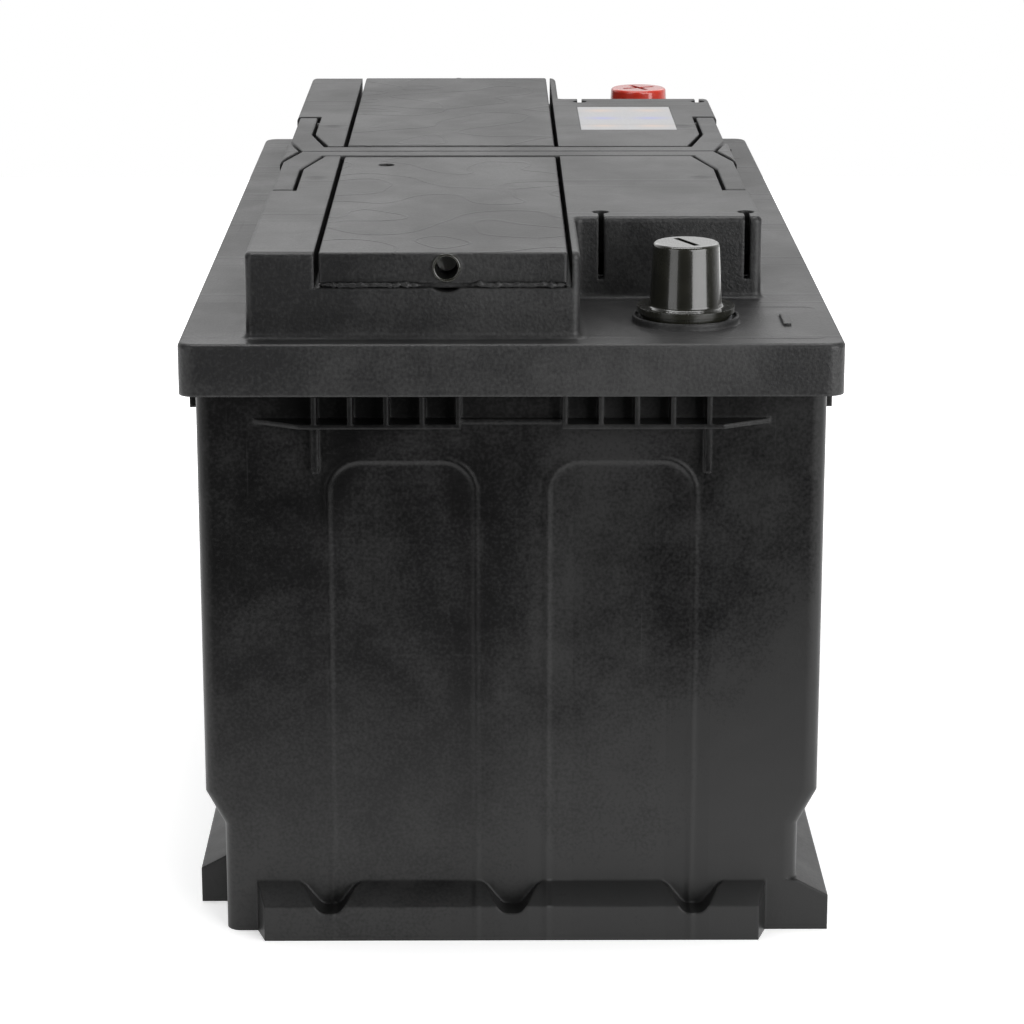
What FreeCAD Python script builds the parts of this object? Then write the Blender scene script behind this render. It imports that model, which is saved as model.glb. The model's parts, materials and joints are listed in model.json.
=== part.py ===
"""Deep cycle battery: container, lid, covers, handles, terminals and the lead work inside.

Millimetres, +Z up. The origin is the centre of the footprint, on the surface the battery stands on.
X runs across the battery, Y along it. The negative terminal is at -Y and the positive one at +Y,
both on the +X side.
"""
import FreeCAD, Part
import math
import os
import Sketcher

SIZES = [
    # alias, millimetres (or degrees or a count)
    ("battery_height", 190.0),
    ("lid_width", 175.0),
    ("lid_length", 353.0),
    # lid
    ("shelf_drop", 23.0),
    ("skirt_depth", 14.0),
    ("lid_wall", 3.0),
    ("lid_corner_radius", 4.5),
    ("lid_edge_radius", 1.2),
    ("deck_margin_side", 17.7),
    ("deck_margin_end", 6.7),
    ("deck_corner_radius", 2.0),
    ("deck_edge_radius", 1.5),
    ("deck_foot_radius", 1.8),
    ("deck_floor_drop", 12.4),
    ("well_length", 53.0),
    ("cover_strip", 2.1),
    ("dimple_radius", 16.0),
    ("dimple_depth", 0.5),
    ("dimple_inset", 12.8),
    ("dimple_from_middle", 51.0),
    ("filler_radius", 8.5),
    # covers
    ("cover_width", 65.0),
    ("cover_height", 8.0),
    ("cover_left_inset", 19.4),
    ("cover_gap", 1.3),
    ("cover_edge_radius", 0.7),
    ("weld_height", 1.4),
    ("weld_width", 2.2),
    ("weld_inset", 0.8),
    ("chamber_height", 5.0),
    ("chamber_wall", 3.0),
    ("chamber_front_wall", 15.0),
    ("port_radius", 3.2),
    ("port_rim_radius", 3.9),
    ("port_rim_depth", 0.4),
    ("port_depth", 9.0),
    ("port_offset", 0.9),
    ("port_notch_radius", 6.6),
    ("arrestor_radius", 2.6),
    ("arrestor_length", 3.0),
    ("arrestor_clearance", 0.02),
    ("gas_hole_radius", 1.5),
    ("pin_mark_radius", 2.45),
    ("pin_mark_depth", 4.0),
    ("pin_mark_inset", 13.4),
    ("pin_mark_from_end", 15.6),
    # handles
    ("handle_thickness", 6.5),
    ("handle_bar", 8.3),
    ("handle_split", 0.3),
    ("handle_arm", 5.8),
    ("handle_inset", 1.1),
    ("handle_gap", 1.3),
    ("handle_floor_gap", 1.0),
    ("handle_reach", 72.0),
    ("handle_bend_inner", 35.0),
    ("handle_bend_outer", 20.5),
    ("handle_taper", 4.7),
    ("handle_throat", 5.4),
    ("handle_edge_radius", 0.5),
    ("heel_top_radius", 1.5),
    ("heel_bottom_radius", 3.2),
    ("pivot_from_heel", 3.8),
    ("pivot_radius", 1.9),
    ("pivot_length", 2.7),
    ("pivot_clearance", 0.05),
    ("pivot_end_gap", 0.3),
    # keyhole slots in the well walls
    ("slot_width", 1.6),
    ("slot_depth", 7.7),
    ("slot_floor", 5.5),
    ("slot_eye_radius", 2.35),
    ("slot_inner_offset", 21.8),
    ("slot_outer_offset", 18.7),
    # terminals
    ("terminal_inset_side", 40.5),
    ("terminal_inset_end", 29.5),
    ("boss_radius", 14.4),
    ("boss_height", 1.9),
    ("boss_rim", 0.8),
    ("boss_dish", 0.8),
    ("boss_below", 6.0),
    ("boss_below_radius", 13.5),
    ("collar_radius", 12.6),
    ("collar_height", 1.4),
    ("collar_stand", 1.3),
    ("barrel_radius", 10.5),
    ("barrel_depth", 9.0),
    ("bushing_clearance", 0.05),
    ("post_height", 18.0),
    ("post_taper", 9.0),
    ("negative_post_diameter", 17.9),
    ("positive_post_diameter", 19.5),
    ("riser_radius", 6.5),
    ("riser_clearance", 0.03),
    ("cap_wall", 0.95),
    ("cap_clearance", 0.12),
    ("cap_top", 1.2),
    ("negative_cap_height", 20.3),
    ("positive_cap_height", 21.3),
    ("cap_flange_radius", 13.2),
    ("cap_flange_height", 1.5),
    ("cap_foot_radius", 12.2),
    ("cap_foot_height", 1.6),
    ("cap_root", 1.0),
    ("cap_edge_radius", 1.0),
    ("mark_length", 12.0),
    ("mark_width", 1.8),
    ("mark_turn", 25.0),
    ("polarity_length", 13.0),
    ("polarity_width", 2.1),
    ("polarity_height", 0.6),
    ("polarity_inset", 13.6),
    # label
    ("label_width", 31.0),
    ("label_length", 51.5),
    ("label_thickness", 0.15),
    ("label_inset", 9.4),
    ("label_from_middle", 44.4),
    ("label_clearance", 0.2),
    # container
    ("case_margin_side", 3.75),
    ("case_margin_end", 7.6),
    ("case_wall", 3.2),
    ("case_floor", 3.5),
    ("case_corner_radius", 4.0),
    ("foot_inset", 5.15),
    ("foot_height", 30.4),
    ("foot_slope", 9.6),
    ("partition_wall", 2.4),
    ("rest_height", 7.0),
    ("rest_width", 2.4),
    ("rest_spacing", 38.0),
    ("ledge_face", 10.0),
    ("ledge_rise", 4.6),
    ("ledge_inset", 0.3),
    ("ledge_setback", 29.0),
    ("lip_half_width", 67.6),
    ("lip_flare", 2.4),
    ("notch_spacing", 49.8),
    ("notch_floor", 7.9),
    ("notch_bottom_width", 4.8),
    ("notch_shoulder_width", 13.4),
    ("notch_shoulder_drop", 1.2),
    ("notch_top_width", 17.2),
    ("notch_radius", 3.0),
    # ribs under the lid
    ("rib_thickness", 1.3),
    ("rib_drop", 7.6),
    ("rib_reach_end", 7.1),
    ("rib_reach_side", 3.0),
    ("rib_inner", 14.0),
    ("rib_pitch", 9.5),
    ("rib_count", 5),
    ("rib_blade_tip", 68.7),
    ("rib_blade_bend", 56.0),
    ("rib_link_reach", 1.2),
    ("side_rib_pitch", 14.4),
    ("side_rib_count", 21),
    ("side_rib_setback", 18.5),
    ("drop_rib_length", 14.4),
    ("drop_rib_width", 1.8),
    ("drop_rib_reach", 3.0),
    # plates and lead
    ("plate_pitch", 3.4),
    ("positive_plates", 7),
    ("positive_thickness", 2.2),
    ("negative_thickness", 1.6),
    ("positive_width", 142.0),
    ("negative_width", 144.0),
    ("separator_thickness", 0.6),
    ("separator_clearance", 0.05),
    ("separator_width", 148.0),
    ("separator_rise", 3.5),
    ("strap_top_drop", 45.0),
    ("strap_thickness", 6.0),
    ("strap_width", 26.0),
    ("strap_length", 50.0),
    ("strap_offset", 50.0),
    ("lug_width", 12.0),
    ("lug_length", 11.0),
    ("tombstone_thickness", 4.0),
    ("tombstone_height", 21.0),
    ("weld_centre", 13.0),
    ("weld_radius", 7.0),
    ("weld_clearance", 0.03),
]

CELLS = 6

# Lengths that several sub-parts share, as expressions in the sheet's values.
TOP = "Size.battery_height"
SHELF = "(Size.battery_height - Size.shelf_drop)"
SHELF_UNDER = f"({SHELF} - Size.lid_wall)"
SKIRT_BOTTOM = f"({SHELF} - Size.skirt_depth)"
DECK_FLOOR = f"({TOP} - Size.deck_floor_drop)"
LID_X = "(Size.lid_width / 2)"
LID_Y = "(Size.lid_length / 2)"
DECK_X = f"({LID_X} - Size.deck_margin_side)"
DECK_Y = f"({LID_Y} - Size.deck_margin_end)"
WELL_Y = f"({DECK_Y} - Size.well_length)"
COVER_LEFT = f"(-{DECK_X} + Size.cover_left_inset)"
COVER_RIGHT = f"({COVER_LEFT} + Size.cover_width)"
COVER_MIDDLE = f"({COVER_LEFT} + Size.cover_width / 2)"
COVER_BOTTOM = f"({TOP} - Size.cover_height)"
COVER_FLOOR = f"({COVER_BOTTOM} - Size.weld_height)"
WELL_X = f"({COVER_RIGHT} + Size.cover_gap + Size.cover_strip)"
BAR_EDGE = "(Size.handle_split + Size.handle_bar)"
GROOVE_EDGE = f"({BAR_EDGE} + Size.handle_gap)"
COVER_INNER = f"({GROOVE_EDGE} + Size.cover_gap)"
PORT_X = f"({COVER_MIDDLE} + Size.port_offset)"
PORT_Z = f"({TOP} - Size.port_rim_radius)"
ARM_OUTER = f"({DECK_X} - Size.handle_inset)"
ARM_INNER = f"({ARM_OUTER} - Size.handle_arm)"
PIVOT_Y = "(Size.handle_reach - Size.pivot_from_heel)"
PIVOT_Z = f"({TOP} - Size.handle_thickness / 2)"
HANDLE_FLOOR = f"({TOP} - Size.handle_thickness - Size.handle_floor_gap)"
TERMINAL_X = f"({LID_X} - Size.terminal_inset_side)"
TERMINAL_Y = f"({LID_Y} - Size.terminal_inset_end)"
BOSS_TOP = f"({SHELF} + Size.boss_height)"
COLLAR_TOP = f"({SHELF} + Size.collar_stand)"
COLLAR_BOTTOM = f"({COLLAR_TOP} - Size.collar_height)"
BARREL_BOTTOM = f"({SHELF} - Size.barrel_depth)"
POST_TOP = f"({COLLAR_TOP} + Size.post_height)"
CASE_X = f"({LID_X} - Size.case_margin_side)"
CASE_Y = f"({LID_Y} - Size.case_margin_end)"
FOOT_X = f"({CASE_X} - Size.foot_inset)"
FOOT_SHOULDER = "(Size.foot_height + Size.foot_slope)"
LEDGE_TOP = "(Size.ledge_face + Size.ledge_rise)"
ROOM_Y = f"({CASE_Y} - Size.case_wall)"
CELL_PITCH = f"((2 * {ROOM_Y} + Size.partition_wall) / {CELLS})"
RIB_TOP = SKIRT_BOTTOM
RIB_BOTTOM = f"({SKIRT_BOTTOM} - Size.rib_drop)"
PLATE_REST = "(Size.case_floor + Size.rest_height)"
STRAP_TOP = f"({TOP} - Size.strap_top_drop)"
STRAP_BOTTOM = f"({STRAP_TOP} - Size.strap_thickness)"
PLATE_TOP = f"({STRAP_BOTTOM} - Size.lug_length)"
WELD_Z = f"({STRAP_BOTTOM} + Size.weld_centre)"
PAST = 2  # how far a cut runs past the face it opens, in mm
SINK = 1  # how far a piece reaches into the one it grows from, in mm
SLACK = 1  # how far off an edge may lie when it is looked up by its place, in mm

doc = FreeCAD.newDocument("DeepCycleBattery")
sheet = doc.addObject("Spreadsheet::Sheet", "Size")
parts = []


def fill_sheet():
    for row, (alias, size) in enumerate(SIZES, 1):
        sheet.set(f"A{row}", alias)
        sheet.set(f"B{row}", str(size))
        sheet.setAlias(f"B{row}", alias)
    doc.recompute()


def value(alias):
    return float(sheet.get(alias))


def span(sign, near, far):
    """The lower and upper bound of a stretch from near to far, on the side that sign gives."""
    return (near, far) if sign > 0 else (f"-({far})", f"-({near})")


def finish(sub_part, label):
    sub_part.Label = label
    parts.append(sub_part)
    return sub_part


# ---- Helpers for PartDesign bodies ----

def new_body(name):
    return doc.addObject("PartDesign::Body", f"{name}_body")


def sketch(body, name, role, loops, offset="0"):
    """Closed loops of straight lines on an origin plane, each corner placed by the sheet."""
    drawing = body.newObject("Sketcher::SketchObject", name)
    plane = next(item for item in body.Origin.OriginFeatures if item.Role == role)
    drawing.AttachmentSupport = (plane, [""])
    drawing.MapMode = "FlatFace"
    drawing.setExpression("AttachmentOffset.Base.z", offset)
    first = 0
    for corners in loops:
        count = len(corners)
        start = [FreeCAD.Vector(math.cos(2 * math.pi * n / count), math.sin(2 * math.pi * n / count))
                 for n in range(count)]
        for n in range(count):
            drawing.addGeometry(Part.LineSegment(start[n], start[(n + 1) % count]), False)
        for n in range(count):
            following = first + (n + 1) % count
            drawing.addConstraint(Sketcher.Constraint("Coincident", first + n, 2, following, 1))
        for n, corner in enumerate(corners):
            for kind, place, text in zip(("DistanceX", "DistanceY"), start[n], corner):
                index = drawing.addConstraint(Sketcher.Constraint(kind, -1, 1, first + n, 1, place))
                drawing.setExpression(f"Constraints[{index}]", text)
        first += count
    return drawing


def pad(body, name, drawing, length):
    feature = body.newObject("PartDesign::Pad", name)
    feature.Profile = drawing
    feature.setExpression("Length", length)
    doc.recompute()
    return feature


def pocket(body, name, drawing, length, away=False):
    """A pocket against the sketch's normal, or along it when away is set. It has to remove material."""
    before = body.Shape.Volume
    feature = body.newObject("PartDesign::Pocket", name)
    feature.Profile = drawing
    feature.setExpression("Length", length)
    feature.Reversed = away
    doc.recompute()
    if feature.Shape.Volume >= before:
        raise RuntimeError(f"{name} removes nothing")
    return feature


def box(body, name, kind, low, high):
    """An additive or subtractive box between two corners."""
    feature = body.newObject(f"PartDesign::{kind}Box", name)
    for prop, start, end in zip(("Length", "Width", "Height"), low, high):
        feature.setExpression(prop, f"({end}) - ({start})")
    for axis, start in zip("xyz", low):
        feature.setExpression(f"Placement.Base.{axis}", start)
    return feature


TURNS = {
    "X": FreeCAD.Rotation(FreeCAD.Vector(0, 1, 0), 90),
    "Y": FreeCAD.Rotation(FreeCAD.Vector(1, 0, 0), -90),
    "Z": FreeCAD.Rotation(),
}


def place(feature, base, axis="Z"):
    feature.Placement = FreeCAD.Placement(FreeCAD.Vector(), TURNS[axis])
    for letter, text in zip("xyz", base):
        feature.setExpression(f"Placement.Base.{letter}", text)


def cylinder(body, name, kind, base, radius, height, axis="Z"):
    """An additive or subtractive cylinder that runs from base along +axis."""
    feature = body.newObject(f"PartDesign::{kind}Cylinder", name)
    feature.setExpression("Radius", radius)
    feature.setExpression("Height", height)
    place(feature, base, axis)
    return feature


def edge_names(shape, chosen):
    return [f"Edge{n}" for n, edge in enumerate(shape.Edges, 1) if chosen(edge.BoundBox)]


def round_edges(body, name, radius, chosen):
    """Rounds the edges of the body's tip whose boxes pass the test."""
    doc.recompute()
    tip = body.Tip
    names = edge_names(tip.Shape, chosen)
    if not names:
        raise RuntimeError(f"{name} finds no edge")
    feature = body.newObject("PartDesign::Fillet", name)
    feature.Base = (tip, names)
    feature.setExpression("Radius", radius)
    doc.recompute()
    return feature


def near(first, second):
    return abs(first - second) < 0.01


def upright(edge):
    return edge.ZLength > 1 and edge.XLength < 0.01 and edge.YLength < 0.01


def level_at(edge, height):
    return near(edge.ZMin, height) and near(edge.ZMax, height)


# ---- Helpers for Part objects ----

def part_box(name, low, high):
    feature = doc.addObject("Part::Box", name)
    for prop, start, end in zip(("Length", "Width", "Height"), low, high):
        feature.setExpression(prop, f"({end}) - ({start})")
    for axis, start in zip("xyz", low):
        feature.setExpression(f"Placement.Base.{axis}", start)
    return feature


def part_cylinder(name, base, radius, height, axis="Z"):
    feature = doc.addObject("Part::Cylinder", name)
    feature.setExpression("Radius", radius)
    feature.setExpression("Height", height)
    place(feature, base, axis)
    return feature


def part_cone(name, base, lower, upper, height):
    feature = doc.addObject("Part::Cone", name)
    feature.setExpression("Radius1", lower)
    feature.setExpression("Radius2", upper)
    feature.setExpression("Height", height)
    place(feature, base)
    return feature


def fuse(name, pieces):
    feature = doc.addObject("Part::MultiFuse", name)
    feature.Shapes = pieces
    feature.Refine = True
    return feature


def cut(name, base, tool):
    feature = doc.addObject("Part::Cut", name)
    feature.Base = base
    feature.Tool = tool
    return feature


def group(name, pieces):
    """Separate solids that share one node."""
    feature = doc.addObject("Part::Compound", name)
    feature.Links = pieces
    return feature


# ---- Container ----

def foot_profile(inset, bottom, top):
    """The case's outline across X, set in by a wall: a narrow foot, a slope and straight sides."""
    half = [
        (f"{FOOT_X} - {inset}", bottom),
        (f"{FOOT_X} - {inset}", "Size.foot_height"),
        (f"{CASE_X} - {inset}", FOOT_SHOULDER),
        (f"{CASE_X} - {inset}", top),
    ]
    return half + [(f"-({across})", up) for across, up in reversed(half)]


def cell_edge(number):
    """Y of the far face of a cell, which is the near face of the partition after it."""
    return f"(-{ROOM_Y} + {number} * {CELL_PITCH} - Size.partition_wall)"


def cell_middle(cell):
    return f"(({cell} - {(CELLS + 1) / 2}) * {CELL_PITCH})"


def weld_side(partition):
    """The straps of neighbouring cells meet at -X and +X in turn."""
    return -1 if partition % 2 else 1


def make_container():
    body = new_body("container")
    outline = sketch(body, "case_outline", "XZ_Plane", [foot_profile("0", "0", SHELF_UNDER)], f"-{CASE_Y}")
    pad(body, "case_block", outline, f"2 * {CASE_Y}")
    case_y = value("lid_length") / 2 - value("case_margin_end")
    round_edges(body, "case_corners", "Size.case_corner_radius",
                lambda edge: edge.ZLength > 1 and edge.YLength < 0.01 and near(abs(edge.YMin), case_y))
    room = sketch(body, "room_outline", "XZ_Plane",
                  [foot_profile("Size.case_wall", "Size.case_floor", f"{SHELF_UNDER} + {PAST}")], f"{ROOM_Y}")
    pocket(body, "room", room, f"2 * {ROOM_Y}")
    add_ledges(body)
    add_end_lips(body)
    end_blades(body)
    shell = fuse("container_walls", [body] + partitions() + plate_rests() + ledge_corners() + end_ribs() + side_ribs())
    holes = group("weld_holes", [weld_hole(number) for number in range(1, CELLS)])
    finish(cut("container_cut", shell, holes), "container")


def weld_hole(number):
    """The hole in a partition that the two straps are welded through."""
    return part_cylinder(f"weld_hole_{number}",
                         (f"{weld_side(number)} * Size.strap_offset", f"{cell_edge(number)} - {PAST}", WELD_Z),
                         "Size.weld_radius + Size.weld_clearance", f"Size.partition_wall + 2 * {PAST}", "Y")


def partitions():
    walls = []
    for number in range(1, CELLS):
        near_face = cell_edge(number)
        body = new_body(f"partition_{number}")
        outline = sketch(body, f"partition_outline_{number}", "XZ_Plane",
                         [foot_profile("Size.case_wall / 2", "Size.case_floor / 2", SHELF_UNDER)],
                         f"-({near_face} + Size.partition_wall)")
        pad(body, f"partition_{number}", outline, "Size.partition_wall")
        walls.append(body)
    return walls


def plate_rests():
    """Ridges on the floor that the plates stand on."""
    ridges = []
    for number, place_across in enumerate((-1.5, -0.5, 0.5, 1.5), 1):
        middle = f"{place_across} * Size.rest_spacing"
        ridges.append(part_box(f"plate_rest_{number}",
                               (f"{middle} - Size.rest_width / 2", f"-({ROOM_Y} + Size.case_wall / 2)",
                                "Size.case_floor / 2"),
                               (f"{middle} + Size.rest_width / 2", f"{ROOM_Y} + Size.case_wall / 2", PLATE_REST)))
    return ridges


def add_ledges(body):
    """Hold-down ledges along both long sides, with a sloped top. Each stops short at one end."""
    reach = f"{LID_X} - Size.ledge_inset"
    root = f"{FOOT_X} - Size.case_wall / 2"
    for side, name in ((1, "right"), (-1, "left")):
        corners = [
            (f"{side} * ({root})", "0"),
            (f"{side} * ({reach})", "0"),
            (f"{side} * ({reach})", "Size.ledge_face"),
            (f"{side} * {FOOT_X}", LEDGE_TOP),
            (f"{side} * ({root})", LEDGE_TOP),
        ]
        far_end = f"{LID_Y} - Size.ledge_setback" if side > 0 else CASE_Y
        ledge = sketch(body, f"ledge_outline_{name}", "XZ_Plane", [corners], f"-({far_end})")
        pad(body, f"ledge_{name}", ledge, f"{CASE_Y} + {LID_Y} - Size.ledge_setback")


def ledge_corners():
    """Blocks that square off the case's rounded corners where a ledge runs flush to the end."""
    blocks = []
    for side, end, name in ((1, -1, "right"), (-1, 1, "left")):
        low_x, high_x = span(side, f"{FOOT_X} - Size.case_corner_radius - {SINK}", f"{FOOT_X} - {SINK}")
        low_y, high_y = span(end, f"{CASE_Y} - Size.case_wall / 2", CASE_Y)
        blocks.append(part_box(f"ledge_corner_{name}", (low_x, low_y, "0"), (high_x, high_y, LEDGE_TOP)))
    return blocks


def add_end_lips(body):
    """Hold-down lips on both ends, each with flared ends and three rounded notches in its sloped top."""
    root = f"{CASE_Y} - Size.case_wall / 2"
    half = "(Size.lip_half_width + Size.lip_flare)"
    for side, name in ((1, "rear"), (-1, "front")):
        corners = [
            (f"{side} * ({root})", "0"),
            (f"{side} * {LID_Y}", "0"),
            (f"{side} * {LID_Y}", "Size.ledge_face"),
            (f"{side} * {CASE_Y}", LEDGE_TOP),
            (f"{side} * ({root})", LEDGE_TOP),
        ]
        lip = sketch(body, f"lip_outline_{name}", "YZ_Plane", [corners], f"-{half}")
        pad(body, f"lip_{name}", lip, f"2 * {half}")
        notches = sketch(body, f"notch_outline_{name}", "XZ_Plane", [notch(n) for n in (-1, 0, 1)],
                         f"-({side} * {CASE_Y})")
        pocket(body, f"notches_{name}", notches, f"Size.case_margin_end + {PAST}", away=side < 0)
    flares = sketch(body, "lip_flare_outline", "XY_Plane", [lip_flare(x, y) for x in (-1, 1) for y in (-1, 1)])
    pocket(body, "lip_flares", flares, f"{LEDGE_TOP} + {PAST}", away=True)
    floor = value("notch_floor")
    round_edges(body, "notch_rounding", "Size.notch_radius",
                lambda edge: level_at(edge, floor) and near(edge.YLength, value("case_margin_end")))


def lip_flare(side, end):
    """What is cut from one end of a lip so that it widens towards the wall."""
    wall = "(Size.lip_half_width + Size.lip_flare)"
    tip = f"(Size.lip_half_width - Size.lip_flare * {PAST} / Size.case_margin_end)"
    corners = [(wall, CASE_Y), (f"({wall} + {PAST})", CASE_Y), (f"({wall} + {PAST})", f"({LID_Y} + {PAST})"),
               (tip, f"({LID_Y} + {PAST})")]
    return [(f"{side} * {x}", f"{end} * {y}") for x, y in corners]


def notch(number):
    """A notch's outline: a flat floor, steep sides and gentler shoulders."""
    middle = f"{number} * Size.notch_spacing"
    spread = f"(Size.notch_top_width - Size.notch_shoulder_width) / 2 * {PAST} / Size.notch_shoulder_drop"
    half = [
        ("Size.notch_bottom_width / 2", "Size.notch_floor"),
        ("Size.notch_shoulder_width / 2", f"{LEDGE_TOP} - Size.notch_shoulder_drop"),
        (f"Size.notch_top_width / 2 + {spread}", f"{LEDGE_TOP} + {PAST}"),
    ]
    return [(f"{middle} + {x}", z) for x, z in half] + [(f"{middle} - ({x})", z) for x, z in reversed(half)]


def end_blades(body):
    """A horizontal blade in two blocks on each end wall, pointed at its outer end."""
    blades = []
    for end in (-1, 1):
        for side in (-1, 1):
            outline = [("Size.rib_inner - Size.rib_thickness / 2", "-Size.case_wall / 2"),
                       ("Size.rib_inner - Size.rib_thickness / 2", "Size.rib_reach_end"),
                       ("Size.rib_blade_bend", "Size.rib_reach_end"),
                       ("Size.rib_blade_tip", "0"),
                       ("Size.rib_blade_tip", "-Size.case_wall / 2")]
            blades.append([(f"{side} * ({across})", f"{end} * ({CASE_Y} + {out})") for across, out in outline])
    drawing = sketch(body, "end_blade_outline", "XY_Plane", blades, f"{RIB_BOTTOM} - Size.rib_thickness")
    pad(body, "end_blades", drawing, "Size.rib_thickness")


def end_ribs():
    """Short upright ribs from the blades to the lid, a longer one below, and a thin link between the blocks."""
    ribs = []
    blade_bottom = f"{RIB_BOTTOM} - Size.rib_thickness"
    root = f"{CASE_Y} - Size.case_wall / 2"
    for end, name in ((-1, "front"), (1, "rear")):
        low, high = span(end, root, f"{CASE_Y} + Size.rib_link_reach")
        ribs.append(part_box(f"blade_link_{name}", ("-Size.rib_inner", low, blade_bottom),
                             ("Size.rib_inner", high, RIB_BOTTOM)))
        for side in (-1, 1):
            tag = f"{name}_{'right' if side > 0 else 'left'}"
            low, high = span(end, root, f"{CASE_Y} + Size.rib_reach_end")
            for number in range(int(value("rib_count"))):
                middle = f"{side} * (Size.rib_inner + {number} * Size.rib_pitch)"
                ribs.append(part_box(f"end_rib_{tag}_{number + 1}",
                                     (f"{middle} - Size.rib_thickness / 2", low, blade_bottom),
                                     (f"{middle} + Size.rib_thickness / 2", high, RIB_TOP)))
            low, high = span(end, root, f"{CASE_Y} + Size.drop_rib_reach")
            ribs.append(part_box(f"drop_rib_{tag}",
                                 (f"{middle} - Size.drop_rib_width / 2", low, f"{RIB_BOTTOM} - Size.drop_rib_length"),
                                 (f"{middle} + Size.drop_rib_width / 2", high, RIB_BOTTOM)))
    return ribs


def side_ribs():
    """The same blade and ribs along both long sides."""
    ribs = []
    blade_bottom = f"{RIB_BOTTOM} - Size.rib_thickness"
    start = f"-{CASE_Y} + Size.side_rib_setback"
    count = int(value("side_rib_count"))
    for side, name in ((-1, "left"), (1, "right")):
        low, high = span(side, f"{CASE_X} - Size.case_wall / 2", f"{CASE_X} + Size.rib_reach_side")
        end = f"{start} + {count - 1} * Size.side_rib_pitch + Size.rib_thickness"
        ribs.append(part_box(f"side_blade_{name}", (low, start, blade_bottom), (high, end, RIB_BOTTOM)))
        for number in range(count):
            near_face = f"{start} + {number} * Size.side_rib_pitch"
            ribs.append(part_box(f"side_rib_{name}_{number + 1}", (low, near_face, blade_bottom),
                                 (high, f"{near_face} + Size.rib_thickness", RIB_TOP)))
    return ribs


# ---- Lid ----

def deck_outline(inset):
    """The raised deck, with a terminal well cut out of each +X corner."""
    left, right = f"-{DECK_X} + {inset}", f"{DECK_X} - {inset}"
    end, well_x, well_y = f"({DECK_Y} - {inset})", f"{WELL_X} - {inset}", f"({WELL_Y} - {inset})"
    return [(left, f"-{end}"), (well_x, f"-{end}"), (well_x, f"-{well_y}"), (right, f"-{well_y}"),
            (right, well_y), (well_x, well_y), (well_x, end), (left, end)]


def rectangle(half_x, half_y):
    return [(f"-({half_x})", f"-({half_y})"), (half_x, f"-({half_y})"), (half_x, half_y), (f"-({half_x})", half_y)]


def make_lid():
    body = new_body("lid")
    band = sketch(body, "band_outline", "XY_Plane", [rectangle(LID_X, LID_Y)], SKIRT_BOTTOM)
    pad(body, "band", band, "Size.skirt_depth")
    round_edges(body, "band_corners", "Size.lid_corner_radius", upright)
    shelf = value("battery_height") - value("shelf_drop")
    round_edges(body, "band_edge", "Size.lid_edge_radius", lambda edge: level_at(edge, shelf))
    deck = sketch(body, "deck_outline", "XY_Plane", [deck_outline("0")], SHELF)
    pad(body, "deck", deck, "Size.shelf_drop")
    round_edges(body, "deck_corners", "Size.deck_corner_radius",
                lambda edge: upright(edge) and edge.ZMin > shelf - 0.1)
    round_edges(body, "deck_edge", "Size.deck_edge_radius", lambda edge: level_at(edge, value("battery_height")))
    deck_x = value("lid_width") / 2 - value("deck_margin_side") + SLACK
    deck_y = value("lid_length") / 2 - value("deck_margin_end") + SLACK
    round_edges(body, "deck_foot", "Size.deck_foot_radius",
                lambda edge: level_at(edge, shelf) and max(-edge.XMin, edge.XMax) < deck_x
                and max(-edge.YMin, edge.YMax) < deck_y)
    hollow_lid(body)
    cut_handle_recess(body)
    solid = fuse("lid_solid", [body] + lid_partitions() + terminal_bosses())
    tools = cover_recesses() + pivot_holes() + keyholes() + bushing_seats() + deck_marks()
    finish(cut("lid_cut", solid, group("lid_cuts", tools)), "lid")


def hollow_lid(body):
    skirt = sketch(body, "skirt_room_outline", "XY_Plane",
                   [rectangle(f"{LID_X} - Size.lid_wall", f"{LID_Y} - Size.lid_wall")], SHELF_UNDER)
    pocket(body, "skirt_room", skirt, f"Size.skirt_depth - Size.lid_wall + {PAST}")
    deck = sketch(body, "deck_room_outline", "XY_Plane", [deck_outline("Size.lid_wall")], DECK_FLOOR)
    pocket(body, "deck_room", deck, f"{DECK_FLOOR} - {SHELF_UNDER} + {PAST}")


def lid_partitions():
    """Ribs under the deck that are welded to the container's partitions."""
    ribs = []
    for number in range(1, CELLS):
        near_face = cell_edge(number)
        ribs.append(part_box(f"lid_partition_{number}", (f"-{DECK_X} + Size.lid_wall / 2", near_face, SHELF_UNDER),
                             (f"{DECK_X} - Size.lid_wall / 2", f"{near_face} + Size.partition_wall",
                              f"{DECK_FLOOR} + Size.lid_wall / 2")))
    return ribs


def cover_recesses():
    """The beds of the two covers, a notch below each vent port and a filler hole for each cell."""
    tools = []
    for end, name in ((-1, "front"), (1, "rear")):
        low, high = span(end, GROOVE_EDGE, f"{DECK_Y} + {PAST}")
        tools.append(part_box(f"cover_recess_{name}", (f"{COVER_LEFT} - Size.cover_gap", low, COVER_FLOOR),
                              (f"{COVER_RIGHT} + Size.cover_gap", high, f"{TOP} + {PAST}")))
        base, _ = span(end, f"{DECK_Y} - Size.port_depth", f"{DECK_Y} + {PAST}")
        tools.append(part_cylinder(f"port_notch_{name}", (PORT_X, base, PORT_Z), "Size.port_notch_radius",
                                   f"Size.port_depth + {PAST}", "Y"))
    for cell in range(1, CELLS + 1):
        tools.append(part_cylinder(f"filler_hole_{cell}", (COVER_MIDDLE, cell_middle(cell), f"{DECK_FLOOR} - {PAST}"),
                                   "Size.filler_radius", f"{COVER_FLOOR} - {DECK_FLOOR} + 2 * {PAST}"))
    return tools


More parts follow.
